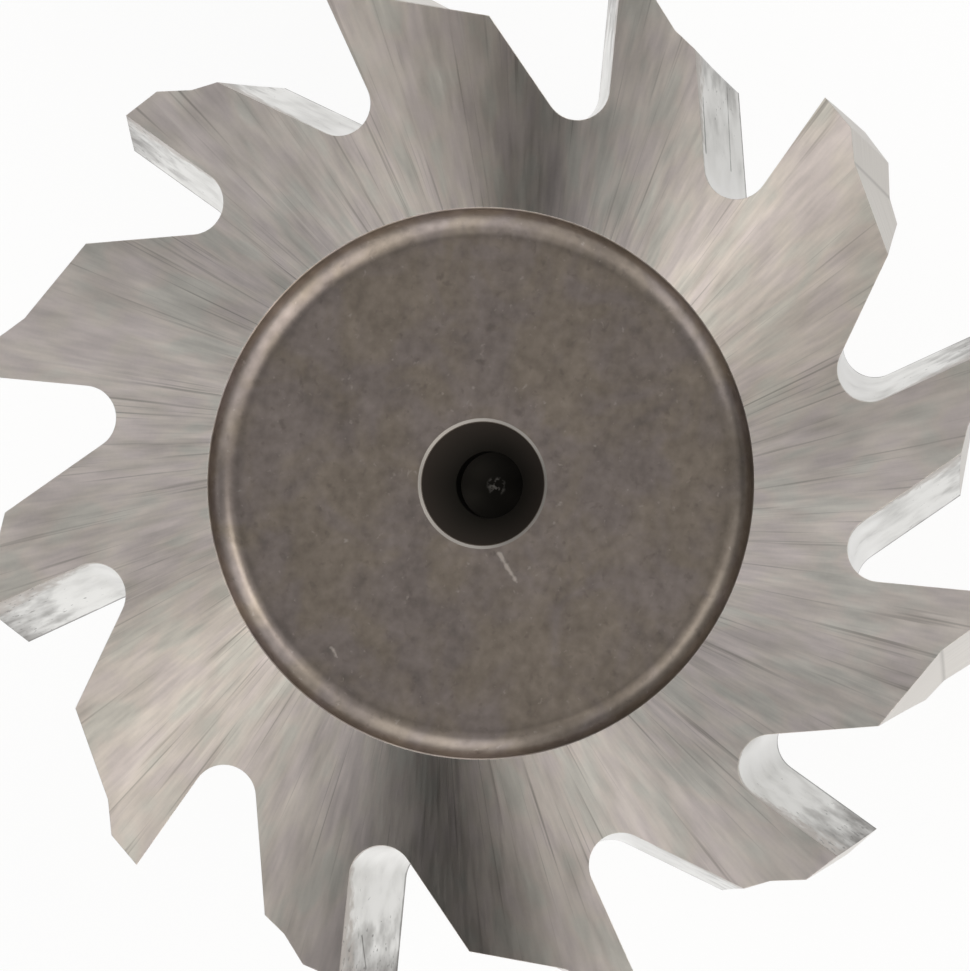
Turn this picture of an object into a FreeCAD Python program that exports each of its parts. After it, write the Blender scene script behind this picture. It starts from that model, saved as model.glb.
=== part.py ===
import FreeCAD, Part
import os
from math import atan2, cos, degrees, radians, sin, sqrt, tan
from FreeCAD import Vector

# Woodruff keyseat cutter, shank type, with staggered teeth, ground from one piece of high-speed steel.
# Lengths are in millimetres and angles in degrees.
# The origin is the centre of the shank end, and +Z runs up the shank to the front of the cutting head.

# Cutting head
cutter_diameter = 38.1          # over the tooth tips, 1-1/2 in
head_width = 6.35               # over the side faces at the rim, 1/4 in
side_clearance = 0.5            # both side faces are ground hollow by this angle
tooth_count = 12                # an even number, because left and right teeth take turns

# Gullets
stagger_angle = 11.0            # lean of each gullet from the axis, left and right in turn
rake_angle = 8.5                # of the cutting face, from the radius through the tooth tip
gullet_angle = 40.0             # between the cutting face and the back wall of a gullet
gullet_depth = 5.25             # from the tooth tips to the round floor
gullet_radius = 1.2             # of the round floor

# Flats behind each cutting edge, with their slopes measured from the tangent at the tooth tip
land_width = 1.45
land_relief = 7.0
step_width = 1.32
step_relief = 42.0
back_relief = 27.7

# Recess turned in the front face, with a rounded corner and an unground floor
recess_diameter = 20.3
recess_depth = 0.8
recess_corner_radius = 1.05

# Centre holes, one in the recess floor and one in the shank end
centre_pilot_diameter = 2.5
centre_pilot_length = 1.3       # straight part of the pilot, below the cone
centre_cone_depth = 1.78
centre_cone_angle = 60.0
centre_guard_width = 0.14       # narrow bevel that guards the mouth of the cone
centre_guard_angle = 120.0
drill_point_angle = 118.0

# Neck and shank
neck_diameter = 11.5
neck_length = 9.5
neck_fillet = 1.2               # where the neck runs into the back of the head
shoulder_length = 1.0           # cone between the neck and the shank
shank_diameter = 12.7           # 1/2 in
shank_length = 40.3
shank_chamfer = 0.8

# Sizes that follow
tip_radius = cutter_diameter / 2
neck_radius = neck_diameter / 2
shank_radius = shank_diameter / 2
neck_base = shank_length + shoulder_length
head_back = neck_base + neck_length
head_middle = head_back + head_width / 2
head_front = head_back + head_width
tooth_pitch = 360 / tooth_count
overrun = 1.0                   # how far the cutting shapes pass the head
cut_height = head_width + 2 * overrun
rim_allowance = 0.5             # stock over the tooth tips, all of it cut away


def polar(radius, angle):
    return Vector(radius * cos(radians(angle)), radius * sin(radians(angle)), 0)


def along(start, angle, length):
    return start + polar(length, angle)


def profile_point(radius, height):
    """A point of a turned profile."""
    return Vector(radius, 0, height)


def profile_arc(centre, radius, start_angle, end_angle):
    """An arc of a turned profile, with its angles measured up from the horizontal."""
    angles = (start_angle, (start_angle + end_angle) / 2, end_angle)
    points = [centre + profile_point(radius * cos(radians(a)), radius * sin(radians(a))) for a in angles]
    return Part.Arc(*points).toShape()


def chain(*points):
    return [Part.makeLine(a, b) for a, b in zip(points, points[1:])]


def turned(edges):
    face = Part.Face(Part.Wire(edges))
    return face.revolve(Vector(0, 0, 0), Vector(0, 0, 1), 360)


def side_hollow(radius):
    """How far a side face has sunk below the rim of the head at this radius."""
    return (tip_radius - radius) * tan(radians(side_clearance))


def stock():
    """The turned body before the teeth are cut: shank, neck and plain disc."""
    fillet = min(neck_fillet, neck_length / 2)
    fillet_edge = head_back + side_hollow(neck_radius + fillet)
    fillet_centre = profile_point(neck_radius + fillet, fillet_edge - fillet)
    front_middle = profile_point(0, head_front - side_hollow(0))
    rim = tip_radius + rim_allowance
    edges = chain(
        front_middle,
        profile_point(0, 0),
        profile_point(shank_radius - shank_chamfer, 0),
        profile_point(shank_radius, shank_chamfer),
        profile_point(shank_radius, shank_length),
        profile_point(neck_radius, neck_base),
        profile_point(neck_radius, fillet_edge - fillet),
    )
    edges.append(profile_arc(fillet_centre, fillet, 180, 90))
    edges += chain(
        profile_point(neck_radius + fillet, fillet_edge),
        profile_point(rim, head_back + side_hollow(rim)),
        profile_point(rim, head_front - side_hollow(rim)),
        front_middle,
    )
    return turned(edges)


def front_recess_floor():
    return head_front - side_hollow(recess_diameter / 2) - recess_depth


def front_recess():
    """The round-cornered pocket. A corner deeper than the pocket meets the face short of upright."""
    floor = front_recess_floor()
    corner = recess_corner_radius
    run_out = sqrt(corner ** 2 - max(corner - recess_depth, 0) ** 2)
    wall = recess_diameter / 2 + corner - run_out
    top = floor + corner + recess_depth + overrun
    edges = chain(profile_point(0, top), profile_point(0, floor), profile_point(wall - corner, floor))
    edges.append(profile_arc(profile_point(wall - corner, floor + corner), corner, -90, 0))
    edges += chain(profile_point(wall, floor + corner), profile_point(wall, top), profile_point(0, top))
    return turned(edges)


def centre_hole():
    """A centre-drilled hole that opens upwards at height 0: guard bevel, cone, pilot and drill point."""
    pilot = centre_pilot_diameter / 2
    mouth = pilot + centre_cone_depth * tan(radians(centre_cone_angle / 2))
    cone_top = -centre_guard_width / tan(radians(centre_guard_angle / 2))
    cone_foot = cone_top - centre_cone_depth
    pilot_foot = cone_foot - centre_pilot_length
    point_foot = pilot_foot - pilot / tan(radians(drill_point_angle / 2))
    return turned(chain(
        profile_point(0, overrun),
        profile_point(0, point_foot),
        profile_point(pilot, pilot_foot),
        profile_point(pilot, cone_foot),
        profile_point(mouth, cone_top),
        profile_point(mouth + centre_guard_width, 0),
        profile_point(mouth + centre_guard_width, overrun),
        profile_point(0, overrun),
    ))


def gullet_section():
    """Section of a gullet at mid-width and the centre of its floor. The cutting edge is on the X axis."""
    tip = profile_point(tip_radius, 0)
    inward = 180 + rake_angle
    # the floor arc touches both the cutting face and the circle that all floors lie on
    beside_tip = along(tip, inward - 90, gullet_radius)
    lever = beside_tip.dot(polar(1, inward))
    centre_radius = tip_radius - gullet_depth + gullet_radius
    reach = -lever - sqrt(lever ** 2 - beside_tip.Length ** 2 + centre_radius ** 2)
    centre = along(beside_tip, inward, reach)
    back_wall = rake_angle + gullet_angle
    face_foot = along(centre, inward + 90, gullet_radius)
    floor_middle = along(centre, (inward + back_wall) / 2 + 90, gullet_radius)
    back_foot = along(centre, back_wall + 90, gullet_radius)
    face_top = along(tip, rake_angle, gullet_depth)
    back_top = along(back_foot, back_wall, 2 * gullet_depth + overrun)
    edges = [Part.Arc(face_foot, floor_middle, back_foot).toShape()]
    edges += chain(back_foot, back_top, face_top, face_foot)
    return Part.Face(Part.Wire(edges)), centre


def relief_section():
    """Section of what is ground and milled away behind a cutting edge on the X axis."""
    tip = profile_point(tip_radius, 0)
    ahead = along(tip, 90 - land_relief, overrun)
    land_end = along(tip, -90 - land_relief, land_width)
    notch = along(land_end, -90 - step_relief, step_width)
    # the milled back runs out inside the next gullet, three quarters of a pitch behind the edge
    run_out = 0.75 * tooth_pitch
    offset = notch.dot(polar(1, 90 - run_out))
    back_end = along(notch, -90 - back_relief, offset / cos(radians(run_out - back_relief)))
    clear = tip_radius + 2 * overrun
    return Part.Wire(chain(ahead, land_end, notch, back_end, polar(clear, -run_out),
                           polar(clear, -run_out / 2), polar(clear, 0), ahead))


def gullet_cut(lean):
    """A gullet is milled straight through the head, leaning square to the radius through its floor."""
    section, floor_centre = gullet_section()
    direction = 90 + degrees(atan2(floor_centre.y, floor_centre.x))
    travel = polar(cut_height * tan(radians(lean)), direction) + Vector(0, 0, cut_height)
    cut = section.extrude(travel)
    cut.translate(Vector(0, 0, head_middle) - travel / 2)
    return cut


def relief_cut(lean):
    """The flats behind an edge turn with it round the head, so that their slopes stay the same."""
    section = relief_section()
    half_turn = degrees(cut_height / 2 * tan(radians(lean)) / tip_radius)
    levels = []
    for level in (-1, 0, 1):
        wire = section.copy()
        wire.rotate(Vector(0, 0, 0), Vector(0, 0, 1), level * half_turn)
        wire.translate(Vector(0, 0, head_middle + level * cut_height / 2))
        levels.append(wire)
    return Part.makeLoft(levels, True)


def tooth_cuts():
    """One relief and one gullet for each tooth, all round the head."""
    cuts = []
    for tooth in range(tooth_count):
        lean = stagger_angle if tooth % 2 else -stagger_angle
        for cut in (relief_cut(lean), gullet_cut(lean)):
            cut.rotate(Vector(0, 0, 0), Vector(0, 0, 1), tooth * tooth_pitch)
            cuts.append(cut)
    return cuts


def keyseat_cutter():
    front_hole = centre_hole()
    front_hole.translate(Vector(0, 0, front_recess_floor()))
    shank_hole = centre_hole()
    shank_hole.rotate(Vector(0, 0, 0), Vector(1, 0, 0), 180)
    body = stock()
    for cut in [front_recess(), front_hole, shank_hole] + tooth_cuts():
        body = body.cut(cut)
    return body


os.makedirs("parts", exist_ok=True)
cutter = keyseat_cutter()
cutter.exportStep("parts/keyseat_cutter.step")
print("keyseat_cutter", cutter.isValid(), len(cutter.Solids), "solid", len(cutter.Faces), "faces")
print("volume", round(cutter.Volume, 1), "mm3, overall length", round(head_front, 3), "mm")
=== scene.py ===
from functools import partial
from math import asin, cos, pi, radians, sin, sqrt, tan

import bmesh
import bpy
from mathutils import Matrix, Vector


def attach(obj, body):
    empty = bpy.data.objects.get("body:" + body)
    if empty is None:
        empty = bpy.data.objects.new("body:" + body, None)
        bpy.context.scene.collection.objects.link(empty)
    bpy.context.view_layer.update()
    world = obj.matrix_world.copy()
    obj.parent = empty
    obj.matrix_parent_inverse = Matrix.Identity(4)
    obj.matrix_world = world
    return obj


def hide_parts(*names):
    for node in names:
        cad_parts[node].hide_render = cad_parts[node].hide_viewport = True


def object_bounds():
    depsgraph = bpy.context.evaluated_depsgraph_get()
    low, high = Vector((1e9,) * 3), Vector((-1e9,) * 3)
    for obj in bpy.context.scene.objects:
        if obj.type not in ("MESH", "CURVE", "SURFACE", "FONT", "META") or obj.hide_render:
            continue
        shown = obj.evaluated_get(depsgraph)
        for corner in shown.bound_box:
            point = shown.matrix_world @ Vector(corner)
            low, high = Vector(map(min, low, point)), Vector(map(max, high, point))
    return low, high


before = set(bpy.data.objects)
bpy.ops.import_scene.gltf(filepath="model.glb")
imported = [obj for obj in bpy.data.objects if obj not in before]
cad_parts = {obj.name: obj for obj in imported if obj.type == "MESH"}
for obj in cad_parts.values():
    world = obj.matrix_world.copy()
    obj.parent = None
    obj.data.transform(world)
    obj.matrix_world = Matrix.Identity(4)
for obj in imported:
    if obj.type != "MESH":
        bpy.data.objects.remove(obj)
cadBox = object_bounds()
mm = 0.001
print("frame loaded")

# The photograph's view. Directions are as the picture shows them: x right, y up, z out of the front face.
photoView = {
    "width": 970,                                # frame, in pixels
    "height": 971,
    "focal": 8041,                               # focal length, in pixels
    "centreAt": (479.15, 483.03),                # where the middle of the front face appears
    "towardsCamera": (0.1399, -0.0248, 0.9899),  # from there, so the camera stands a little to the right
    "distance": 296.3 * mm,
    "clip": (0.01, 50.0),                        # metres
    "toothAt": radians(75.99),                   # where the tooth on the part's X axis points in the picture
    "sensor": 36.0,                              # millimetres over the frame's longer side
}


def fillSockets(tree, node, inputs):
    # inputs holds, for each socket, a value, a node or socket to link, or a list of those
    for socket, value in inputs.items():
        for part in value if isinstance(value, list) else [value]:
            if isinstance(part, bpy.types.Node):
                part = next(output for output in part.outputs if output.enabled)
            if isinstance(part, bpy.types.NodeSocket):
                tree.links.new(part, node.inputs[socket])
            else:
                node.inputs[socket].default_value = part


def addNode(tree, kind, inputs=None, **settings):
    node = tree.nodes.new(kind)
    for name, value in settings.items():
        setattr(node, name, value)
    fillSockets(tree, node, inputs or {})
    return node


def photoToPart():
    # turns the picture's directions into the part's own
    return Matrix.Rotation(-photoView["toothAt"], 4, "Z")


def makeCamera():
    view = photoView
    data = bpy.data.cameras.new("photoCamera")
    data.sensor_width = view["sensor"]
    data.lens = view["sensor"] * view["focal"] / max(view["width"], view["height"])
    data.clip_start, data.clip_end = view["clip"]
    across = (view["centreAt"][0] - view["width"] / 2) / view["focal"]
    up = (view["height"] / 2 - view["centreAt"][1]) / view["focal"]
    back = Vector(view["towardsCamera"]).normalized()
    turn = Vector((across, up, -1)).rotation_difference(-back)
    place = Matrix.Translation(back * view["distance"]) @ turn.to_matrix().to_4x4()
    camera = bpy.data.objects.new("photoCamera", data)
    camera.matrix_world = Matrix.Translation((0, 0, cadBox[1].z)) @ photoToPart() @ place
    bpy.context.scene.collection.objects.link(camera)
    bpy.context.scene.camera = camera


# The cutter's sizes, in millimetres and degrees
head = {
    "tipRadius": cadBox[1].x / mm,
    "front": cadBox[1].z / mm,       # height of the front face over the shank end
    "width": 6.35,
    "hollow": 0.5,                   # both side faces are ground hollow by this angle
    "allowance": 0.5,                # stock over the tooth tips, all of it cut away
}
recess = {
    "radius": 10.15,
    "depth": 0.8,
    "corner": 1.05,
    "edgeBreak": 0.03,               # sharp outer edge, just broken
}
centreDrill = {
    "pilotRadius": 1.25,
    "pilotLength": 1.3,
    "coneDepth": 1.78,
    "coneAngle": 60.0,
    "guardWidth": 0.14,
    "guardAngle": 120.0,
    "pointAngle": 118.0,
}
shank = {
    "neckRadius": 5.75,
    "neckFillet": 1.2,
    "shoulder": 1.0,
    "radius": 6.35,
    "length": 40.3,
    "chamfer": 0.8,
}
turning = {
    "steps": 192,                    # facets round the axis
    "arcSteps": 14,                  # facets in a corner radius
}


def sideHollow(radius):
    return (head["tipRadius"] - radius) * tan(radians(head["hollow"]))


def arcPoints(centre, radius, start, end, steps):
    angles = [radians(start + (end - start) * step / steps) for step in range(steps + 1)]
    return [(centre[0] + radius * cos(a), centre[1] + radius * sin(a)) for a in angles]


def centreHolePoints():
    # from the tip of the drill point out to the mouth, which is at height 0
    drill = centreDrill
    mouth = drill["pilotRadius"] + drill["coneDepth"] * tan(radians(drill["coneAngle"] / 2))
    coneTop = -drill["guardWidth"] / tan(radians(drill["guardAngle"] / 2))
    coneFoot = coneTop - drill["coneDepth"]
    pilotFoot = coneFoot - drill["pilotLength"]
    pointFoot = pilotFoot - drill["pilotRadius"] / tan(radians(drill["pointAngle"] / 2))
    return [
        (0, pointFoot),
        (drill["pilotRadius"], pilotFoot),
        (drill["pilotRadius"], coneFoot),
        (mouth, coneTop),
        (mouth + drill["guardWidth"], 0),
    ]


def turnedProfile():
    # runs of (radius, height) points from the axis at the shank end to the axis at the front
    steps = turning["arcSteps"]
    back = head["front"] - head["width"]
    neckBase = shank["length"] + shank["shoulder"]
    fillet = shank["neckFillet"]
    filletRadius = shank["neckRadius"] + fillet
    filletEdge = back + sideHollow(filletRadius)
    rim = head["tipRadius"] + head["allowance"]
    edge = recess["edgeBreak"]
    corner = recess["corner"]
    rimHeight = head["front"] - sideHollow(recess["radius"])
    floor = rimHeight - recess["depth"]
    steepest = asin((recess["depth"] - corner) / corner)
    cornerRadius = recess["radius"] - corner * cos(steepest)
    cornerArc = arcPoints((cornerRadius, floor + corner), corner, steepest * 180 / pi, -90, steps)
    hole = centreHolePoints()
    return [
        ("bore", [(r, -z) for r, z in hole]),
        ("ground", [
            (hole[-1][0], 0),
            (shank["radius"] - shank["chamfer"], 0),
            (shank["radius"], shank["chamfer"]),
            (shank["radius"], shank["length"]),
            (shank["neckRadius"], neckBase),
            (shank["neckRadius"], filletEdge - fillet),
        ] + arcPoints((filletRadius, filletEdge - fillet), fillet, 180, 90, steps)[1:]),
        ("side", [
            (filletRadius, filletEdge),
            (rim, back + sideHollow(rim)),
            (rim, head["front"] - sideHollow(rim)),
            (recess["radius"] + edge, rimHeight),
        ]),
        ("recess", [
            (recess["radius"] + edge, rimHeight),
            (recess["radius"] - edge / 4, rimHeight - edge),
        ] + cornerArc[1:] + [(hole[-1][0], floor)]),
        ("bore", [(r, floor + z) for r, z in hole[::-1]]),
    ]


def makeTurnedBody(finishes):
    mesh = bpy.data.meshes.new("turnedBody")
    shape = bmesh.new()
    steps = turning["steps"]
    angles = [2 * pi * step / steps for step in range(steps)]
    rings = []
    for finish, points in turnedProfile():
        for index, (radius, height) in enumerate(points):
            if rings and index == 0:         # a run starts where the last one ended
                continue
            places = [(radius * cos(a) * mm, radius * sin(a) * mm, height * mm) for a in angles]
            if radius == 0:
                ring = [shape.verts.new(places[0])] * steps
            else:
                ring = [shape.verts.new(place) for place in places]
            rings.append((ring, finish))
    names = list(finishes)
    for (lower, _), (upper, finish) in zip(rings, rings[1:]):
        for step in range(steps):
            after = (step + 1) % steps
            corners = []
            for vertex in (lower[step], lower[after], upper[after], upper[step]):
                if vertex not in corners:
                    corners.append(vertex)
            face = shape.faces.new(corners)
            face.material_index = names.index(finish)
    shape.to_mesh(mesh)
    shape.free()
    for finish in names:
        mesh.materials.append(finishes[finish])
    body = bpy.data.objects.new("keyseatCutter", mesh)
    bpy.context.scene.collection.objects.link(body)
    return body


teeth = {
    "count": 12,
    "lean": 11.0,                    # of each gullet from the axis, left and right in turn
    "rake": 8.5,
    "gulletAngle": 40.0,
    "gulletDepth": 5.25,
    "gulletRadius": 1.2,
    "landWidth": 1.45,
    "landRelief": 7.0,
    "stepWidth": 1.32,
    "stepRelief": 42.0,
    "backRelief": 27.7,
    "backSpan": 0.75,                # share of the pitch that the milled back may take
    "overrun": 1.0,                  # how far the cutting shapes pass the head
    "floorSteps": 20,                # facets round a gullet's floor
    "levels": 24,                    # slices across the head's width
}


def polar(radius, angle):
    return Vector((radius * cos(radians(angle)), radius * sin(radians(angle)), 0))


def gulletOutline():
    # at mid-width, with the cutting edge on the X axis; also the middle of the round floor
    radius = teeth["gulletRadius"]
    tip = Vector((head["tipRadius"], 0, 0))
    inward = 180 + teeth["rake"]
    beside = tip + polar(radius, inward - 90)
    lever = beside.dot(polar(1, inward))
    centreRadius = head["tipRadius"] - teeth["gulletDepth"] + radius
    reach = -lever - sqrt(lever ** 2 - beside.length_squared + centreRadius ** 2)
    centre = beside + polar(reach, inward)
    backWall = teeth["rake"] + teeth["gulletAngle"]
    steps = teeth["floorSteps"]
    turns = [inward + 90 + (backWall - inward) * step / steps for step in range(steps + 1)]
    floor = [centre + polar(radius, turn) for turn in turns]
    backTop = floor[-1] + polar(2 * teeth["gulletDepth"] + teeth["overrun"], backWall)
    faceTop = tip + polar(teeth["gulletDepth"], teeth["rake"])
    return floor + [backTop, faceTop], centre


def reliefOutline():
    # what is ground and milled away behind the cutting edge: land, step and milled back
    tip = Vector((head["tipRadius"], 0, 0))
    ahead = tip + polar(teeth["overrun"], 90 - teeth["landRelief"])
    landEnd = tip + polar(teeth["landWidth"], -90 - teeth["landRelief"])
    notch = landEnd + polar(teeth["stepWidth"], -90 - teeth["stepRelief"])
    runOut = teeth["backSpan"] * 360 / teeth["count"]
    offset = notch.dot(polar(1, 90 - runOut))
    back = offset / cos(radians(runOut - teeth["backRelief"]))
    backEnd = notch + polar(back, -90 - teeth["backRelief"])
    clear = head["tipRadius"] + 2 * teeth["overrun"]
    return [ahead, landEnd, notch, backEnd, polar(clear, -runOut), polar(clear, -runOut / 2), polar(clear, 0)]


def makeCuttingShape(name, outline):
    # a prism as tall as the cut, centred on mid-width, in slices so that it can be leaned or twisted
    height = (head["width"] + 2 * teeth["overrun"]) * mm
    levels = teeth["levels"]
    area = sum(a.x * b.y - a.y * b.x for a, b in zip(outline, outline[1:] + outline[:1]))
    points = outline if area > 0 else outline[::-1]
    shape = bmesh.new()
    rings = []
    for level in range(levels + 1):
        lift = Vector((0, 0, height * (level / levels - 0.5)))
        rings.append([shape.verts.new(point * mm + lift) for point in points])
    for lower, upper in zip(rings, rings[1:]):
        for index in range(len(points)):
            after = (index + 1) % len(points)
            shape.faces.new((lower[index], lower[after], upper[after], upper[index]))
    shape.faces.new(rings[0][::-1])
    shape.faces.new(rings[-1])
    mesh = bpy.data.meshes.new(name)
    shape.to_mesh(mesh)
    shape.free()
    made = bpy.data.objects.new(name, mesh)
    bpy.context.scene.collection.objects.link(made)
    return made


def makeTeethTree():
    # cuts gullets and reliefs round the head, half of them leaning each way in turn
    tree = bpy.data.node_groups.new("cutTeeth", "GeometryNodeTree")
    sockets = {
        "Body": "NodeSocketGeometry",
        "Gullet": "NodeSocketObject",
        "Relief": "NodeSocketObject",
        "Teeth each way": "NodeSocketInt",
        "Pitch": "NodeSocketFloat",
        "Slope": "NodeSocketFloat",
        "Tip radius": "NodeSocketFloat",
        "Floor direction": "NodeSocketVector",
        "Mid-width": "NodeSocketVector",
        "Gullet finish": "NodeSocketMaterial",
        "Relief finish": "NodeSocketMaterial",
    }
    for name, kind in sockets.items():
        tree.interface.new_socket(name=name, in_out="INPUT", socket_type=kind)
    tree.interface.new_socket(name="Cutter", in_out="OUTPUT", socket_type="NodeSocketGeometry")
    add = partial(addNode, tree)
    given = add("NodeGroupInput").outputs
    position = add("GeometryNodeInputPosition")
    lift = add("ShaderNodeSeparateXYZ", {0: position}).outputs["Z"]
    index = add("GeometryNodeInputIndex")
    shapes = []
    for number, name in ((1, "Gullet"), (2, "Relief")):
        shape = add("GeometryNodeObjectInfo", {"Object": given[name]}).outputs["Geometry"]
        marked = {"Geometry": shape, "Name": "cutBy", "Value": number}
        shapes.append(add("GeometryNodeStoreNamedAttribute", marked, data_type="INT", domain="FACE"))
    gullet, relief = shapes
    cuts = []
    for start, sign in ((0, -1), (1, 1)):
        slope = add("ShaderNodeMath", {0: given["Slope"], 1: sign}, operation="MULTIPLY")
        shift = add("ShaderNodeMath", {0: lift, 1: slope}, operation="MULTIPLY")
        # a gullet leans straight, and the flats behind an edge turn with it round the head
        way = given["Floor direction"]
        leaning = add("ShaderNodeVectorMath", {0: way, "Scale": shift}, operation="SCALE")
        leaned = add("GeometryNodeSetPosition", {"Geometry": gullet, "Offset": leaning})
        angle = add("ShaderNodeMath", {0: shift, 1: given["Tip radius"]}, operation="DIVIDE")
        turned = add("ShaderNodeVectorRotate", {"Vector": position, "Angle": angle}, rotation_type="Z_AXIS")
        twisted = add("GeometryNodeSetPosition", {"Geometry": relief, "Position": turned})
        pair = add("GeometryNodeJoinGeometry", {0: [twisted, leaned]})
        points = add("GeometryNodeMeshLine", {"Count": given["Teeth each way"], "Offset": (0, 0, 0)})
        tooth = add("ShaderNodeMath", {0: index, 1: 2, 2: start}, operation="MULTIPLY_ADD")
        around = add("ShaderNodeMath", {0: tooth, 1: given["Pitch"]}, operation="MULTIPLY")
        turn = add("ShaderNodeCombineXYZ", {"Z": around})
        placed = {"Points": points, "Instance": pair, "Rotation": turn}
        cuts.append(add("GeometryNodeInstanceOnPoints", placed))
    joined = add("GeometryNodeJoinGeometry", {0: cuts})
    lifted = add("GeometryNodeTransform", {"Geometry": joined, "Translation": given["Mid-width"]})
    real = add("GeometryNodeRealizeInstances", {0: lifted})
    meshes = {"Mesh 1": given["Body"], "Mesh 2": real, "Self Intersection": True}
    cut = add("GeometryNodeMeshBoolean", meshes, operation="DIFFERENCE", solver="EXACT")
    whole = add("GeometryNodeRealizeInstances", {0: cut})
    cutBy = add("GeometryNodeInputNamedAttribute", {"Name": "cutBy"}, data_type="INT")
    for number, finish in ((1, "Gullet finish"), (2, "Relief finish")):
        chosen = add("FunctionNodeCompare", {2: cutBy, 3: number}, data_type="INT", operation="EQUAL")
        dressed = {"Geometry": whole, "Selection": chosen, "Material": given[finish]}
        whole = add("GeometryNodeSetMaterial", dressed)
    add("NodeGroupOutput", {0: whole})
    return tree


def cutTeeth(body, gulletFinish, reliefFinish):
    outline, floorCentre = gulletOutline()
    gullet = makeCuttingShape("gulletShape", outline)
    relief = makeCuttingShape("reliefShape", reliefOutline())
    values = {
        "Gullet": gullet,
        "Relief": relief,
        "Teeth each way": teeth["count"] // 2,
        "Pitch": 2 * pi / teeth["count"],
        "Slope": tan(radians(teeth["lean"])),
        "Tip radius": head["tipRadius"] * mm,
        "Floor direction": Vector((-floorCentre.y, floorCentre.x, 0)).normalized(),
        "Mid-width": (0, 0, (head["front"] - head["width"] / 2) * mm),
        "Gullet finish": gulletFinish,
        "Relief finish": reliefFinish,
    }
    cutting = body.modifiers.new("cutTeeth", "NODES")
    cutting.node_group = makeTeethTree()
    for socket in cutting.node_group.interface.items_tree:
        if socket.in_out == "INPUT" and socket.name in values:
            cutting[socket.identifier] = values[socket.name]
    seen = body.evaluated_get(bpy.context.evaluated_depsgraph_get())
    made = bpy.data.meshes.new_from_object(seen)
    body.modifiers.remove(cutting)
    made.attributes.remove(made.attributes["cutBy"])
    body.data = made
    for shape in (gullet, relief):
        bpy.data.objects.remove(shape)


def linear(hexColour):
    # an sRGB hex value as the linear colour that shaders take
    parts = [int(hexColour[at:at + 2], 16) / 255 for at in (1, 3, 5)]
    return tuple(p / 12.92 if p <= 0.04045 else ((p + 0.055) / 1.055) ** 2.4 for p in parts) + (1,)


def startMetal(name):
    # a bare metal, an adder for its nodes, and the surface point in millimetres
    material = bpy.data.materials.new(name)
    material.use_nodes = True
    add = partial(addNode, material.node_tree)
    point = add("ShaderNodeTexCoord").outputs["Object"]
    place = add("ShaderNodeVectorMath", {0: point, "Scale": 1 / mm}, operation="SCALE")
    return material, add, place


def dressMetal(material, inputs):
    # the values and nodes that go to the sockets of the metal's shader
    tree = material.node_tree
    fillSockets(tree, tree.nodes["Principled BSDF"], {"Metallic": 1.0, **inputs})
    return material


def inPlan(add, place):
    # the surface point as seen along the axis
    return add("ShaderNodeVectorMath", {0: place, 1: (1, 1, 0)}, operation="MULTIPLY")


def drawnMarks(add, direction, distance, reach, width, length, seed):
    # noise drawn out along a direction from the axis
    # its marks have this width and length, in millimetres, at the radius called reach
    around = add("ShaderNodeVectorMath", {0: direction, "Scale": reach / width}, operation="SCALE")
    along = add("ShaderNodeMath", {0: distance, 1: 1 / length, 2: seed}, operation="MULTIPLY_ADD")
    lifted = add("ShaderNodeCombineXYZ", {"Z": along})
    vector = add("ShaderNodeVectorMath", {0: around, 1: lifted}, operation="ADD")
    return add("ShaderNodeTexNoise", {"Vector": vector, "Scale": 1.0, "Detail": 1.5})


def shadeFrom(add, patterns):
    # a factor round 1, from patterns that each change it by their own amount
    shade = 1 - sum(amount for _, amount in patterns) / 2
    for pattern, amount in patterns:
        shade = add("ShaderNodeMath", {0: pattern, 1: amount, 2: shade}, operation="MULTIPLY_ADD")
    return shade


def raggedLine(add, place, noise, start, end, halfWidth, ragged, soft, strength):
    # how much a straight mark between two points shows; the noise moves its edge, and soft blurs it
    run = end - start
    offset = add("ShaderNodeVectorMath", {0: place, 1: start}, operation="SUBTRACT")
    share = add("ShaderNodeVectorMath", {0: offset, 1: run / run.length_squared}, operation="DOT_PRODUCT")
    share = add("ShaderNodeClamp", {0: share})
    nearest = add("ShaderNodeVectorMath", {0: run, "Scale": share}, operation="SCALE")
    away = add("ShaderNodeVectorMath", {0: offset, 1: nearest}, operation="DISTANCE")
    broken = add("ShaderNodeMath", {0: noise, 1: -ragged, 2: away}, operation="MULTIPLY_ADD")
    edge = halfWidth - ragged / 2
    shown = {"From Min": edge, "From Max": edge - soft, "To Max": strength}
    return add("ShaderNodeMapRange", {"Value": broken, **shown})


# In the finishes, a noise's Scale is one over the size of its marks in millimetres. From Min and From Max are
# the values of a noise, or the radii in millimetres, between which a colour, a shade or a roughness changes.
bevelSamples = 6

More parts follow.
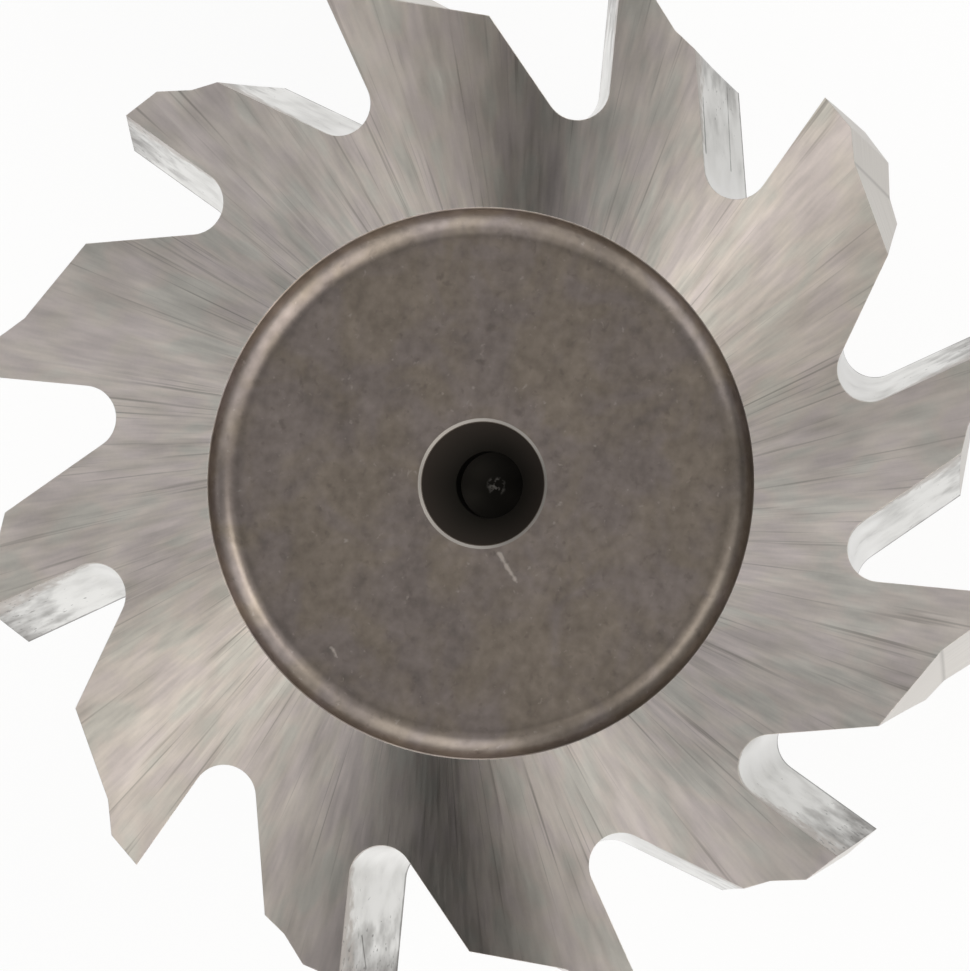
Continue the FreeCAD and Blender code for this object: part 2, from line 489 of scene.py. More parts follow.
# High-speed steel, ground dry on the side faces by a wheel that crosses them a little off the middle, so that
# its lines all pass the axis on one side. The eye sees soft slanted spokes with clusters of long scratches,
# faint mauve and cool grey stains along them, and light and dark sectors that swing round with the lamps.
sideGround = {
    "colour": linear("#e3dad2"),
    "mauve": linear("#e1d7d3"),
    "grey": linear("#ddd9d1"),
    "roughness": {"From Min": 0.36, "From Max": 0.64, "To Min": 0.40, "To Max": 0.34},
    "anisotropy": 1.0,
    "pass": 1.75,                    # distance at which the lines pass the axis, in millimetres
    "reach": 13.0,                   # radius at which marks have their width and length, all in millimetres
    "marks": [                       # width, length, seed, and how much they change the shade
        (0.12, 1.0, 3.0, 0.22),
        (0.24, 1.6, 41.0, 0.42),
        (0.55, 2.4, 79.0, 0.44),
        (1.4, 3.0, 117.0, 0.36),
    ],
    "grain": {"Scale": 1 / 0.14, "Detail": 2.0},
    "grainChange": 0.08,
    "stain": (0.9, 2.0, 163.0),      # width, length, seed
    "mauveFrom": {"From Min": 0.50, "From Max": 0.64},
    "greyFrom": {"From Min": 0.48, "From Max": 0.36},
    "cluster": (1.4, 8.0, 197.0),
    "clustering": 0.45,              # how much sooner a line shows where a cluster is
    "lines": [                       # scratches, then glints: width, length, seed, colour, where they show
        (0.12, 7.0, 127.0, linear("#847c75"), {"From Min": 0.85, "From Max": 1.01, "To Max": 0.55}),
        (0.10, 4.0, 211.0, linear("#f8f1ea"), {"From Min": 0.89, "From Max": 1.03, "To Max": 0.40}),
    ],
    "edge": 0.035,                   # how far the edges look broken, in millimetres
    "bump": {"Strength": 0.4, "Distance": 0.0010 * mm},
}


def makeSideGround():
    look = sideGround
    material, add, place = startMetal("sideGroundSteel")
    plan = inPlan(add, place)
    outward = add("ShaderNodeVectorMath", {0: plan}, operation="NORMALIZE")
    radius = add("ShaderNodeVectorMath", {0: plan}, operation="LENGTH")
    slant = add("ShaderNodeMath", {0: look["pass"], 1: radius}, operation="DIVIDE")
    slant = add("ShaderNodeMath", {0: slant}, operation="ARCSINE")
    lay = add("ShaderNodeVectorRotate", {"Vector": outward, "Angle": slant}, rotation_type="Z_AXIS")
    drawn = partial(drawnMarks, add, lay, radius, look["reach"])
    grain = add("ShaderNodeTexNoise", {"Vector": place, **look["grain"]})
    marks = [(drawn(width, length, seed), change) for width, length, seed, change in look["marks"]]
    finest = marks[0][0]
    shade = shadeFrom(add, [(grain, look["grainChange"])] + marks)
    stains = drawn(*look["stain"])
    mauve = add("ShaderNodeMapRange", {"Value": stains, **look["mauveFrom"]})
    grey = add("ShaderNodeMapRange", {"Value": stains, **look["greyFrom"]})
    colour = add("ShaderNodeMix", {0: mauve, 6: look["colour"], 7: look["mauve"]}, data_type="RGBA")
    colour = add("ShaderNodeMix", {0: grey, 6: colour, 7: look["grey"]}, data_type="RGBA")
    colour = add("ShaderNodeVectorMath", {0: colour, "Scale": shade}, operation="SCALE")
    clusters = drawn(*look["cluster"])
    for width, length, seed, lineColour, shownFrom in look["lines"]:
        lines = drawn(width, length, seed)
        nearer = {0: clusters, 1: look["clustering"], 2: lines}
        raised = add("ShaderNodeMath", nearer, operation="MULTIPLY_ADD")
        shown = add("ShaderNodeMapRange", {"Value": raised, **shownFrom})
        colour = add("ShaderNodeMix", {0: shown, 6: colour, 7: lineColour}, data_type="RGBA")
    rough = add("ShaderNodeMapRange", {"Value": finest, **look["roughness"]})
    edge = add("ShaderNodeBevel", {"Radius": look["edge"] * mm}, samples=bevelSamples)
    bump = add("ShaderNodeBump", {"Height": finest, "Normal": edge, **look["bump"]})
    tangent = add("ShaderNodeVectorMath", {0: (0, 0, 1), 1: lay}, operation="CROSS_PRODUCT")
    return dressMetal(material, {
        "Base Color": colour,
        "Roughness": rough,
        "Normal": bump,
        "Tangent": tangent,
        "Anisotropic": look["anisotropy"],
    })


# The recess keeps its turned and hardened surface, brown-grey and matte: cloudy brown and mauve-grey patches,
# small ragged scuffs and bright specks, and two old nicks. Its rounded corner is a little smoother, and its
# colour is painted a little lighter there as a painted highlight.
recessTurned = {
    "brown": linear("#978c81"),
    "mauve": linear("#948a85"),
    "scuffColour": linear("#6b625d"),
    "speckColour": linear("#d2c8c0"),
    "corner": {"From Min": 8.9, "From Max": 9.5},       # radii between which floor becomes corner
    "roughness": {"To Min": 0.44, "To Max": 0.32},      # on the floor and in the corner
    "wearAndPaintedLight": {"To Min": 1.0, "To Max": 1.04},            # shade on the floor and in the corner, where the lighter colour is a painted highlight
    "patches": [                     # noise, and how much it changes the shade
        ({"Scale": 1 / 3.2, "Detail": 2.0}, 0.32),
        ({"Scale": 1 / 1.1, "Detail": 2.0}, 0.56),
        ({"Scale": 1 / 0.42, "Detail": 2.0}, 0.60),
    ],
    "tint": {"Scale": 1 / 2.4, "Detail": 3.0, "Distortion": 0.6},
    "tinted": {"From Min": 0.42, "From Max": 0.58},
    "scuff": {"Scale": 1 / 0.45, "Detail": 3.0, "Distortion": 0.3},
    "scuffed": {"From Min": 0.40, "From Max": 0.24, "To Max": 0.45},
    "speck": {"Scale": 1 / 0.26, "Detail": 2.0, "Distortion": 0.2},
    "specked": {"From Min": 0.68, "From Max": 0.86, "To Max": 0.5},
    "grain": {"Scale": 1 / 0.25, "Detail": 2.0},
    "bump": {"Strength": 0.5, "Distance": 0.0020 * mm},
    "nicks": [                       # start and end in the picture, from the face's middle, and half-width
        ((0.62, -2.58), (0.94, -3.10), 0.10),
        ((0.94, -3.10), (1.28, -3.64), 0.08),
        ((-5.62, -6.05), (-5.42, -6.42), 0.08),
    ],
    "nickEdge": {"ragged": 0.24, "soft": 0.09, "strength": 0.9},
}


def makeRecessTurned():
    look = recessTurned
    material, add, place = startMetal("recessTurnedSteel")
    plan = inPlan(add, place)
    radius = add("ShaderNodeVectorMath", {0: plan}, operation="LENGTH")
    clouds = [
        (add("ShaderNodeTexNoise", {"Vector": place, **noise}), change)
        for noise, change in look["patches"]
    ]
    tints = add("ShaderNodeTexNoise", {"Vector": place, **look["tint"]})
    mixed = add("ShaderNodeMapRange", {"Value": tints, **look["tinted"]})
    colour = add("ShaderNodeMix", {0: mixed, 6: look["mauve"], 7: look["brown"]}, data_type="RGBA")
    # painted highlight: the colour is made lighter in the rounded corner
    wearAndPaintedLight = add("ShaderNodeMapRange", {"Value": radius, **look["corner"], **look["wearAndPaintedLight"]})
    shade = add("ShaderNodeMath", {0: shadeFrom(add, clouds), 1: wearAndPaintedLight}, operation="MULTIPLY")
    colour = add("ShaderNodeVectorMath", {0: colour, "Scale": shade}, operation="SCALE")
    scuffs = add("ShaderNodeTexNoise", {"Vector": place, **look["scuff"]})
    scuffed = add("ShaderNodeMapRange", {"Value": scuffs, **look["scuffed"]})
    colour = add("ShaderNodeMix", {0: scuffed, 6: colour, 7: look["scuffColour"]}, data_type="RGBA")
    specks = add("ShaderNodeTexNoise", {"Vector": place, **look["speck"]})
    bright = add("ShaderNodeMapRange", {"Value": specks, **look["specked"]})
    grain = add("ShaderNodeTexNoise", {"Vector": place, **look["grain"]})
    for start, end, halfWidth in look["nicks"]:
        first, last = (photoToPart() @ Vector((x, y, 0)) for x, y in (start, end))
        nick = raggedLine(add, plan, grain, first, last, halfWidth, **look["nickEdge"])
        bright = add("ShaderNodeMath", {0: bright, 1: nick}, operation="MAXIMUM")
    colour = add("ShaderNodeMix", {0: bright, 6: colour, 7: look["speckColour"]}, data_type="RGBA")
    rough = add("ShaderNodeMapRange", {"Value": radius, **look["corner"], **look["roughness"]})
    bump = add("ShaderNodeBump", {"Height": grain, **look["bump"]})
    return dressMetal(material, {"Base Color": colour, "Roughness": rough, "Normal": bump})


# Inside the centre holes the drilled steel is painted dark as painted shade, darker down the cone and darkest
# in the pilot, and only the bevel at the mouth is bright.
boreDrilled = {
    "guard": linear("#a5a09a"),
    "mouth": linear("#5e5650"),
    "foot": linear("#59554f"),       # of the cone, a little darker than the mouth as painted shade
    "pilotShade": linear("#2b2926"),
    "speckColour": linear("#8f8c87"),
    "roughness": 0.5,
    "guardFrom": 0.03,               # the bevel shows from this far outside the cone's mouth, in millimetres
    "deepTo": 0.005,                 # and the pilot's colour to this far outside its wall
    "grit": {"Scale": 1 / 0.2, "Detail": 2.0},
    "gritty": {"From Min": 0.53, "From Max": 0.65},
    "middle": {"From Min": 0.40, "From Max": 0.20},     # radii of the chips in the tip of the pilot
    "bump": {"Strength": 0.4, "Distance": 0.003 * mm},
}


def makeBoreDrilled():
    look = boreDrilled
    material, add, place = startMetal("boreDrilledSteel")
    radius = add("ShaderNodeVectorMath", {0: inPlan(add, place)}, operation="LENGTH")
    pilot = centreDrill["pilotRadius"]
    mouth = centreHolePoints()[3][0]
    # painted shade: the cone darkens from its mouth towards its foot, and the pilot is darker still
    cone = add("ShaderNodeMapRange", {"Value": radius, "From Min": pilot, "From Max": mouth})
    colour = add("ShaderNodeMix", {0: cone, 6: look["foot"], 7: look["mouth"]}, data_type="RGBA")
    inside = add("ShaderNodeMath", {0: radius, 1: pilot + look["deepTo"]}, operation="LESS_THAN")
    colour = add("ShaderNodeMix", {0: inside, 6: colour, 7: look["pilotShade"]}, data_type="RGBA")
    outside = add("ShaderNodeMath", {0: radius, 1: mouth + look["guardFrom"]}, operation="GREATER_THAN")
    colour = add("ShaderNodeMix", {0: outside, 6: colour, 7: look["guard"]}, data_type="RGBA")
    grit = add("ShaderNodeTexNoise", {"Vector": place, **look["grit"]})
    middle = add("ShaderNodeMapRange", {"Value": radius, **look["middle"]})
    specks = add("ShaderNodeMapRange", {"Value": grit, **look["gritty"]})
    specked = add("ShaderNodeMath", {0: middle, 1: specks}, operation="MULTIPLY")
    colour = add("ShaderNodeMix", {0: specked, 6: colour, 7: look["speckColour"]}, data_type="RGBA")
    bump = add("ShaderNodeBump", {"Height": grit, **look["bump"]})
    return dressMetal(material, {"Base Color": colour, "Roughness": look["roughness"], "Normal": bump})


# Shank and neck are ground between centres: fine lines round the axis, duller bands and a few stains.
shankGround = {
    "light": linear("#c8c2bb"),
    "dull": linear("#bab3ac"),
    "stainColour": linear("#9d958d"),
    "roughness": {"From Min": 0.35, "From Max": 0.65, "To Min": 0.31, "To Max": 0.25},
    "anisotropy": 0.8,
    "breaks": 0.12,                  # of a line, per millimetre that it runs
    "lines": [                       # spacing in millimetres, and how much they change the shade
        (0.08, 0.34),
        (0.35, 0.30),
        (4.0, 0.12),
    ],
    "stain": {"Scale": 1 / 3.5, "Detail": 4.0},
    "clear": {"From Min": 0.36, "From Max": 0.64},
    "spotted": {"From Min": 0.32, "From Max": 0.26, "To Max": 0.4},
    "edge": 0.08,
    "bump": {"Strength": 0.4, "Distance": 0.0009 * mm},
}


def makeShankGround():
    look = shankGround
    material, add, place = startMetal("shankGroundSteel")
    bands = []
    for spacing, change in look["lines"]:
        stretch = (look["breaks"], look["breaks"], 1 / spacing)
        drawn = add("ShaderNodeVectorMath", {0: place, 1: stretch}, operation="MULTIPLY")
        bands.append((add("ShaderNodeTexNoise", {"Vector": drawn, "Scale": 1.0, "Detail": 2.0}), change))
    finest = bands[0][0]
    stains = add("ShaderNodeTexNoise", {"Vector": place, **look["stain"]})
    clear = add("ShaderNodeMapRange", {"Value": stains, **look["clear"]})
    colour = add("ShaderNodeMix", {0: clear, 6: look["dull"], 7: look["light"]}, data_type="RGBA")
    colour = add("ShaderNodeVectorMath", {0: colour, "Scale": shadeFrom(add, bands)}, operation="SCALE")
    spots = add("ShaderNodeMapRange", {"Value": stains, **look["spotted"]})
    colour = add("ShaderNodeMix", {0: spots, 6: colour, 7: look["stainColour"]}, data_type="RGBA")
    rough = add("ShaderNodeMapRange", {"Value": stains, **look["roughness"]})
    edge = add("ShaderNodeBevel", {"Radius": look["edge"] * mm}, samples=bevelSamples)
    bump = add("ShaderNodeBump", {"Height": finest, "Normal": edge, **look["bump"]})
    along = add("ShaderNodeCombineXYZ", {"Z": 1.0})
    return dressMetal(material, {
        "Base Color": colour,
        "Roughness": rough,
        "Normal": bump,
        "Tangent": along,
        "Anisotropic": look["anisotropy"],
    })


# The gullets are milled: cool grey walls with nearly white floors, the floors painted lighter as a painted
# highlight, duller and pitted towards the tooth tips. A ragged strip under the front face widens towards the
# tips, and a thin dark line of painted shade runs along the arris at the back face.
gulletMilled = {
    "colour": linear("#ecebe8"),
    "dull": linear("#e0dfdc"),
    # painted highlight: the round floors are painted lighter than the walls
    "paintedFloorLight": linear("#f6f5f3"),
    "darkColour": linear("#6a6763"),
    "rimColour": linear("#b9b1aa"),
    "tipColour": linear("#7f7b77"),
    "roughness": {"From Min": 0.35, "From Max": 0.65, "To Min": 0.30, "To Max": 0.40},
    "cloud": {"Scale": 1 / 1.1, "Detail": 3.0},
    "clouded": {"From Min": 0.42, "From Max": 0.66},
    "onFloor": {"From Min": 15.0, "From Max": 14.0},   # radii between which wall becomes floor
    "tip": {"From Min": 16.2, "From Max": head["tipRadius"]},
    "tipWear": 0.6,
    "wearAndPaintedLight": {"From Min": 0.64, "From Max": 1.20, "To Max": 0.9},
    "rag": {"Scale": 1 / 0.4, "Detail": 4.0},
    "rimFrom": {"From Min": 14.6, "From Max": head["tipRadius"]},
    "rimReach": {"To Min": 0.22, "To Max": 1.7},        # how far the strip reaches down, in millimetres
    "rimRag": 2.4,
    "rimmed": {"From Min": 0.0, "From Max": -0.8, "To Max": 0.9},
    "pit": {"Scale": 1 / 0.24, "Detail": 2.0, "Distortion": 0.4},
    "pitsAtTip": 0.13,               # how much easier pits form there
    "pitsOffFloor": 0.2,             # and how much harder on the floor
    "pitted": {"From Min": 0.29, "From Max": 0.21, "To Max": 0.7},
    "arris": 0.22,                   # widest reach of its dark line of painted shade, in millimetres
    "arrisStrength": 0.8,
    "dragLines": [                   # dark lines that chips have drawn: start, end and half-width
        ((15.75, -4.53, 56.45), (13.84, -5.14, 56.63), 0.095),
        ((16.50, -4.82, 52.62), (13.55, -5.76, 52.99), 0.08),
        ((-17.40, 0.46, 55.07), (-18.57, 0.14, 54.30), 0.09),
    ],
    "dragEdge": {"ragged": 0.12, "soft": 0.07, "strength": 0.9},
    "edge": 0.09,
    "bump": {"Strength": 0.3, "Distance": 0.0010 * mm},
}


def makeGulletMilled():
    look = gulletMilled
    material, add, place = startMetal("gulletMilledSteel")
    radius = add("ShaderNodeVectorMath", {0: inPlan(add, place)}, operation="LENGTH")
    height = add("ShaderNodeSeparateXYZ", {0: place}).outputs["Z"]
    cloud = add("ShaderNodeTexNoise", {"Vector": place, **look["cloud"]})
    pits = add("ShaderNodeTexNoise", {"Vector": place, **look["pit"]})
    rag = add("ShaderNodeTexNoise", {"Vector": place, **look["rag"]})
    clouded = add("ShaderNodeMapRange", {"Value": cloud, **look["clouded"]})
    colour = add("ShaderNodeMix", {0: clouded, 6: look["colour"], 7: look["dull"]}, data_type="RGBA")
    # painted highlight: the colour turns lighter on the round floor
    onFloor = add("ShaderNodeMapRange", {"Value": radius, **look["onFloor"]})
    colour = add("ShaderNodeMix", {0: onFloor, 6: colour, 7: look["paintedFloorLight"]}, data_type="RGBA")
    tip = add("ShaderNodeMapRange", {"Value": radius, **look["tip"]})
    wear = add("ShaderNodeMath", {0: tip, 1: look["tipWear"], 2: cloud}, operation="MULTIPLY_ADD")
    wearAndPaintedLight = add("ShaderNodeMapRange", {"Value": wear, **look["wearAndPaintedLight"]})
    colour = add("ShaderNodeMix", {0: wearAndPaintedLight, 6: colour, 7: look["tipColour"]}, data_type="RGBA")
    # the dull strip under the front face
    reach = add("ShaderNodeMapRange", {"Value": radius, **look["rimFrom"], **look["rimReach"]})
    drop = add("ShaderNodeMath", {0: head["front"], 1: height}, operation="SUBTRACT")
    share = add("ShaderNodeMath", {0: drop, 1: reach}, operation="DIVIDE")
    ragged = add("ShaderNodeMath", {0: rag, 1: -look["rimRag"], 2: share}, operation="MULTIPLY_ADD")
    rimmed = add("ShaderNodeMapRange", {"Value": ragged, **look["rimmed"]})
    colour = add("ShaderNodeMix", {0: rimmed, 6: colour, 7: look["rimColour"]}, data_type="RGBA")
    # pits, the painted shade line along the arris, and the drag lines
    sunk = add("ShaderNodeMath", {0: tip, 1: -look["pitsAtTip"], 2: pits}, operation="MULTIPLY_ADD")
    sunk = add("ShaderNodeMath", {0: onFloor, 1: look["pitsOffFloor"], 2: sunk}, operation="MULTIPLY_ADD")
    dark = add("ShaderNodeMapRange", {"Value": sunk, **look["pitted"]})
    # painted shade: a thin dark line along the arris at the back face
    rise = add("ShaderNodeMath", {0: height, 1: head["front"] - head["width"]}, operation="SUBTRACT")
    broken = add("ShaderNodeMath", {0: rag, 1: -look["arris"], 2: rise}, operation="MULTIPLY_ADD")
    thin = {"From Min": look["arris"] / 2, "From Max": 0.0, "To Max": look["arrisStrength"]}
    line = add("ShaderNodeMapRange", {"Value": broken, **thin})
    dark = add("ShaderNodeMath", {0: dark, 1: line}, operation="MAXIMUM")
    for start, end, halfWidth in look["dragLines"]:
        drag = raggedLine(add, place, rag, Vector(start), Vector(end), halfWidth, **look["dragEdge"])
        dark = add("ShaderNodeMath", {0: dark, 1: drag}, operation="MAXIMUM")
    colour = add("ShaderNodeMix", {0: dark, 6: colour, 7: look["darkColour"]}, data_type="RGBA")
    rough = add("ShaderNodeMapRange", {"Value": cloud, **look["roughness"]})
    edge = add("ShaderNodeBevel", {"Radius": look["edge"] * mm}, samples=bevelSamples)
    bump = add("ShaderNodeBump", {"Height": pits, "Normal": edge, **look["bump"]})
    return dressMetal(material, {"Base Color": colour, "Roughness": rough, "Normal": bump})


# The flats behind the cutting edges are ground with the head's turn: pale and smooth, with a dark line of
# painted shade along the notch.
landGround = {
    "light": linear("#e4dfd8"),
    "dull": linear("#d6d0c9"),
    "notchShadeColour": linear("#7a736c"),
    "roughness": 0.34,
    "spacing": 0.06,                 # of the lines, in millimetres
    "breaks": 5.0,                   # of a line, per radian that it runs round the head
    "lined": {"From Min": 0.35, "From Max": 0.65},
    "notched": {"From Min": 0.06, "From Max": 0.0, "To Max": 0.45},     # half-width of the painted shade line
    "edge": 0.06,
    "bump": {"Strength": 0.3, "Distance": 0.001 * mm},
}


def makeLandGround():
    look = landGround
    material, add, place = startMetal("landGroundSteel")
    plan = inPlan(add, place)
    outward = add("ShaderNodeVectorMath", {0: plan}, operation="NORMALIZE")
    radius = add("ShaderNodeVectorMath", {0: plan}, operation="LENGTH")
    height = add("ShaderNodeSeparateXYZ", {0: place}).outputs["Z"]
    across = add("ShaderNodeMath", {0: height, 1: 1 / look["spacing"]}, operation="MULTIPLY")
    lines = add("ShaderNodeCombineXYZ", {"Z": across})
    way = add("ShaderNodeVectorMath", {0: outward, "Scale": look["breaks"]}, operation="SCALE")
    vector = add("ShaderNodeVectorMath", {0: way, 1: lines}, operation="ADD")
    marks = add("ShaderNodeTexNoise", {"Vector": vector, "Scale": 1.0, "Detail": 2.0})
    lined = add("ShaderNodeMapRange", {"Value": marks, **look["lined"]})
    colour = add("ShaderNodeMix", {0: lined, 6: look["dull"], 7: look["light"]}, data_type="RGBA")
    # painted shade: a dark line where the land meets the step
    notch = reliefOutline()[2]
    away = add("ShaderNodeMath", {0: radius, 1: notch.length}, operation="SUBTRACT")
    away = add("ShaderNodeMath", {0: away}, operation="ABSOLUTE")
    notched = add("ShaderNodeMapRange", {"Value": away, **look["notched"]})
    colour = add("ShaderNodeMix", {0: notched, 6: colour, 7: look["notchShadeColour"]}, data_type="RGBA")
    edge = add("ShaderNodeBevel", {"Radius": look["edge"] * mm}, samples=bevelSamples)
    bump = add("ShaderNodeBump", {"Height": marks, "Normal": edge, **look["bump"]})
    return dressMetal(material, {"Base Color": colour, "Roughness": look["roughness"], "Normal": bump})


# A pale room, brightest half-way up and darker overhead, where the camera and its black card hang.
# Azimuths are as the picture shows them, and heights are those of a direction on the unit sphere.
studio = {
    "heights": [
        (0.0, 1.0),
        (0.2, 0.77),
        (0.4, 1.20),
        (0.75, 1.15),
        (0.87, 0.24),
        (0.95, 1.14),
        (1.0, 0.05),
    ],
    "brightest": 1.25,               # a colour ramp ends at 1, so it holds shares of this
    "bandsFrom": {"From Min": 0.1, "From Max": 0.3},    # heights over which the bands set in
    "bands": [                       # bands that run overhead: azimuth, inner and outer half-width, gain
        (3.2, 0.128, 0.180, 0.05),
        (31.6, 0.211, 0.275, 1.45),
        (82.5, 0.256, 0.353, 1.42),
        (59.5, 0.252, 0.349, 0.54),
        (119.8, 0.164, 0.217, 0.30),
        (142.5, 0.043, 0.088, 1.09),
        (11.5, 0.02, 0.24, 0.66),
        (51.0, 0.0, 0.14, 0.86),
        (152.5, 0.0, 0.12, 0.84),
    ],
    "panels": [                      # darker stretches low in the room: azimuth, half-width, top, gain
        (159.5, 46.7, 0.50, 0.30),
        (357.0, 32.1, 0.25, 0.74),
    ],
    "panelBlur": (12, 0.12),         # of a panel's sides, in degrees, and of its top
    "plain": 0.85,                   # light on what isn't shiny
    "lampDistance": 0.9,
    "lamps": [                       # azimuth, elevation, half-width and half-height from the head, radiance
        ("keyLamp", 147.0, 57.8, 0.046, 0.300, 1.47),
        ("fillLamp", -53.2, 43.9, 0.244, 0.499, 1.29),
        ("sideLamp", 28.4, 50.4, 0.197, 0.135, 2.5),
    ],
    "lampColour": (1.04, 1.0, 0.93),
}
paperFloor = {
    "size": 12.0,
    "paper": {"Base Color": linear("#fafaf9"), "Roughness": 0.9, "Specular IOR Level": 0.1},
    "shadowShare": 0.22,             # how much of the floor's look is lit, and so takes the shadow
    "dimAzimuth": 25,                # painted shade: the metal sees the floor a little darker on this side of the picture, as if lit unevenly
    "dim": {"From Min": 0.0, "From Max": 0.040, "To Min": 1.0, "To Max": 0.66},     # metres from the axis
    "cardShadeAzimuth": 60,               # painted shade far out on two opposite sides stands in for dark cards and gives round metal its form
    "cardShadeFrom": {"From Min": 0.05, "From Max": 0.13},   # metres from the axis
    "cardShade": {"To Min": 1.0, "To Max": 0.30},
}


def studioDirection(azimuth, elevation):
    flat = cos(radians(elevation))
    towards = Vector((flat * cos(radians(azimuth)), flat * sin(radians(azimuth)), sin(radians(elevation))))
    return photoToPart() @ towards


def makeWorld():
    world = bpy.data.worlds.new("studio")
    world.use_nodes = True
    tree = world.node_tree
    add = partial(addNode, tree)
    direction = add("ShaderNodeTexCoord").outputs["Generated"]
    height = add("ShaderNodeSeparateXYZ", {0: direction}).outputs["Z"]
    ramp = add("ShaderNodeValToRGB", {0: height})
    stops = ramp.color_ramp.elements
    stops.remove(stops[1])
    for index, (position, value) in enumerate(studio["heights"]):
        stop = stops.new(position) if index else stops[0]
        stop.position = position
        share = value / studio["brightest"]
        stop.color = (share, share, share, 1)
    light = add("ShaderNodeMath", {0: ramp, 1: studio["brightest"]}, operation="MULTIPLY")
    bandsFrom = studio["bandsFrom"]
    risen = add("ShaderNodeMapRange", {"Value": height, **bandsFrom}, interpolation_type="SMOOTHSTEP")
    for azimuth, inner, outer, gain in studio["bands"]:
        across = studioDirection(azimuth + 90, 0)
        side = add("ShaderNodeVectorMath", {0: direction, 1: across}, operation="DOT_PRODUCT")
        away = add("ShaderNodeMath", {0: side}, operation="ABSOLUTE")
        bandEdge = {"From Min": inner, "From Max": outer, "To Min": gain}
        band = add("ShaderNodeMapRange", {"Value": away, **bandEdge}, interpolation_type="SMOOTHSTEP")
        shaded = add("ShaderNodeMix", {0: risen, 2: 1.0, 3: band})
        light = add("ShaderNodeMath", {0: light, 1: shaded}, operation="MULTIPLY")
    level = add("ShaderNodeVectorMath", {0: direction, 1: (1, 1, 0)}, operation="MULTIPLY")
    level = add("ShaderNodeVectorMath", {0: level}, operation="NORMALIZE")
    sideBlur, topBlur = studio["panelBlur"]
    for azimuth, reach, top, gain in studio["panels"]:
        middle = studioDirection(azimuth, 0)
        sideEdge = {"From Min": cos(radians(reach + sideBlur)), "From Max": cos(radians(reach - sideBlur))}
        topEdge = {"From Min": top + topBlur, "From Max": top - topBlur}
        towards = add("ShaderNodeVectorMath", {0: level, 1: middle}, operation="DOT_PRODUCT")
        near = add("ShaderNodeMapRange", {"Value": towards, **sideEdge}, interpolation_type="SMOOTHSTEP")
        low = add("ShaderNodeMapRange", {"Value": height, **topEdge}, interpolation_type="SMOOTHSTEP")
        inside = add("ShaderNodeMath", {0: near, 1: low}, operation="MULTIPLY")
        shaded = add("ShaderNodeMix", {0: inside, 2: 1.0, 3: gain})
        light = add("ShaderNodeMath", {0: light, 1: shaded}, operation="MULTIPLY")
    path = add("ShaderNodeLightPath").outputs
    seen = add("ShaderNodeMix", {0: path["Is Glossy Ray"], 2: 1.0, 3: light})
    plain = add("ShaderNodeMix", {0: path["Is Diffuse Ray"], 2: seen, 3: studio["plain"]})
    fillSockets(tree, tree.nodes["Background"], {"Color": (1, 1, 1, 1), "Strength": plain})
    bpy.context.scene.world = world


def makeLamps():
    distance = studio["lampDistance"]
    middle = Vector((0, 0, head["front"] * mm))
    for name, azimuth, elevation, halfWidth, halfHeight, radiance in studio["lamps"]:
        data = bpy.data.lights.new(name, "AREA")
        data.shape = "RECTANGLE"
        data.size = 2 * halfWidth * distance
        data.size_y = 2 * halfHeight * distance
        data.energy = radiance * pi * data.size * data.size_y
        data.color = studio["lampColour"]
        lamp = bpy.data.objects.new(name, data)
        towards = studioDirection(azimuth, elevation)
        turn = towards.to_track_quat("Z", "Y").to_matrix().to_4x4()
        lamp.matrix_world = Matrix.Translation(middle + towards * distance) @ turn
        bpy.context.scene.collection.objects.link(lamp)


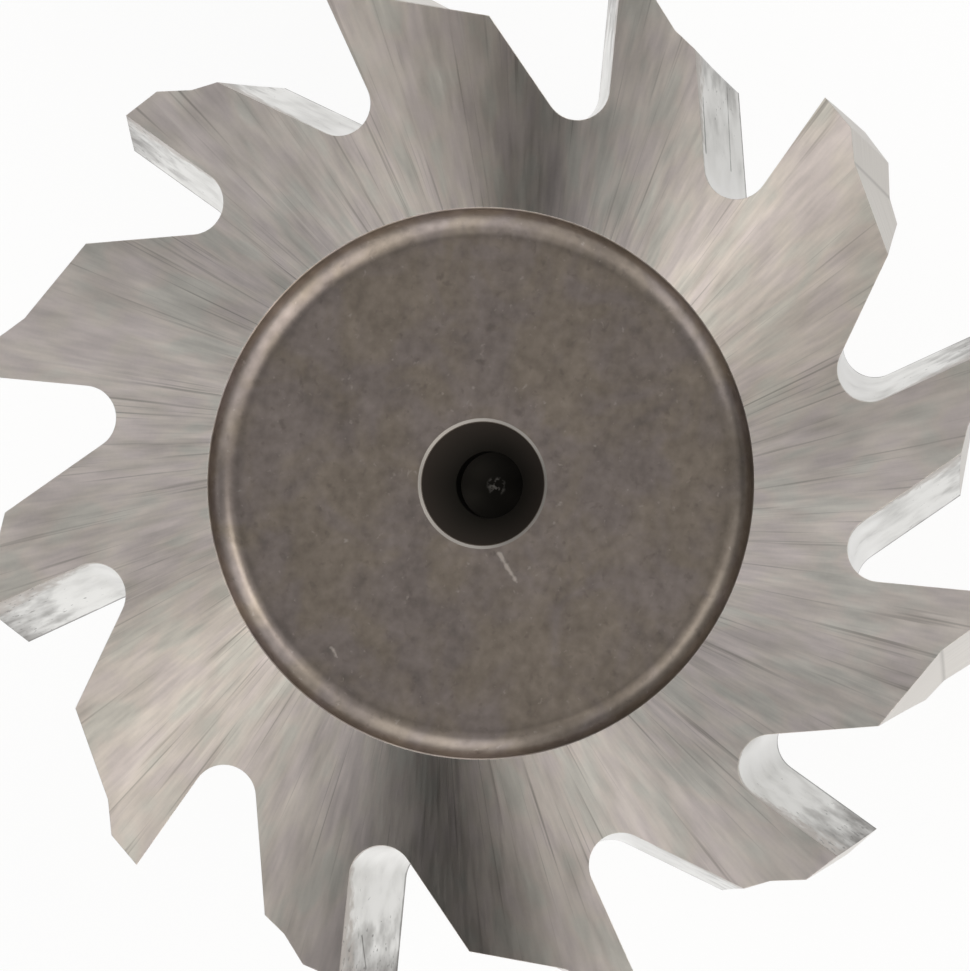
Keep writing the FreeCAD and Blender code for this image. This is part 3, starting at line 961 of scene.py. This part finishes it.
def makeFloor():
    look = paperFloor
    mesh = bpy.data.meshes.new("studioFloor")
    half = look["size"] / 2
    corners = [(-half, -half, 0), (half, -half, 0), (half, half, 0), (-half, half, 0)]
    mesh.from_pydata(corners, [], [(0, 1, 2, 3)])
    sheet = bpy.data.objects.new("studioFloor", mesh)
    bpy.context.scene.collection.objects.link(sheet)
    material = bpy.data.materials.new("floorPaper")
    material.use_nodes = True
    tree = material.node_tree
    add = partial(addNode, tree)
    paper = tree.nodes["Principled BSDF"]
    fillSockets(tree, paper, look["paper"])
    path = add("ShaderNodeLightPath").outputs
    glossy = path["Is Glossy Ray"]
    shiny = add("ShaderNodeMath", {0: glossy, 1: path["Is Transmission Ray"]}, operation="MAXIMUM")
    direct = add("ShaderNodeMath", {0: path["Is Camera Ray"], 1: shiny}, operation="MAXIMUM")
    share = add("ShaderNodeMath", {0: direct, 1: 1 - look["shadowShare"]}, operation="MULTIPLY")
    place = add("ShaderNodeTexCoord").outputs["Object"]
    # painted shade on the floor, seen only by the metal: darker towards one side
    dimWay = studioDirection(look["dimAzimuth"], 0)
    aside = add("ShaderNodeVectorMath", {0: place, 1: dimWay}, operation="DOT_PRODUCT")
    dim = look["dim"]
    dimmed = add("ShaderNodeMapRange", {"Value": aside, **dim}, interpolation_type="SMOOTHSTEP")
    ahead = add("ShaderNodeVectorMath", {0: place}, operation="NORMALIZE")
    # painted shade in place of dark cards: the floor, seen by the metal, is darker far out on two opposite
    # sides
    cardShadeWay = studioDirection(look["cardShadeAzimuth"], 0)
    turned = add("ShaderNodeVectorMath", {0: ahead, 1: cardShadeWay}, operation="DOT_PRODUCT")
    facing = add("ShaderNodeMath", {0: turned, 1: turned}, operation="MULTIPLY")
    away = add("ShaderNodeVectorMath", {0: place}, operation="LENGTH")
    far = add("ShaderNodeMapRange", {"Value": away, **look["cardShadeFrom"]})
    covered = add("ShaderNodeMath", {0: facing, 1: far}, operation="MULTIPLY")
    cardShaded = add("ShaderNodeMapRange", {"Value": covered, **look["cardShade"]})
    dimmed = add("ShaderNodeMath", {0: dimmed, 1: cardShaded}, operation="MULTIPLY")
    glow = add("ShaderNodeMix", {0: glossy, 2: 1.0, 3: dimmed})
    white = add("ShaderNodeEmission", {"Color": (1, 1, 1, 1), "Strength": glow})
    mixed = add("ShaderNodeMixShader", {0: share, 1: paper, 2: white})
    fillSockets(tree, tree.nodes["Material Output"], {"Surface": mixed})
    mesh.materials.append(material)
    return sheet


smoothUpTo = 20                      # degrees between facets that still shade as one surface


def shadeCutter(body):
    # flat walls shade flat and turned corners smooth, with breaks at the sharp edges
    for face in body.data.polygons:
        face.use_smooth = True
    body.data.set_sharp_from_angle(angle=radians(smoothUpTo))
    weigh = body.modifiers.new("weighNormals", "WEIGHTED_NORMAL")
    weigh.keep_sharp = True
    seen = body.evaluated_get(bpy.context.evaluated_depsgraph_get())
    made = bpy.data.meshes.new_from_object(seen)
    body.modifiers.remove(weigh)
    body.data = made


makeCamera()
print("camera placed")

finishes = {
    "ground": makeShankGround(),
    "side": makeSideGround(),
    "recess": makeRecessTurned(),
    "bore": makeBoreDrilled(),
}
print("turned finishes made")

cutter = makeTurnedBody(finishes)
print("turned body made")
cutTeeth(cutter, makeGulletMilled(), makeLandGround())
shadeCutter(cutter)
print("teeth cut", len(cutter.data.polygons), "faces")
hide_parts("keyseat_cutter")
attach(cutter, "root")

makeWorld()
makeLamps()
makeFloor()
bpy.context.scene.view_settings.view_transform = "Standard"
print("studio made")
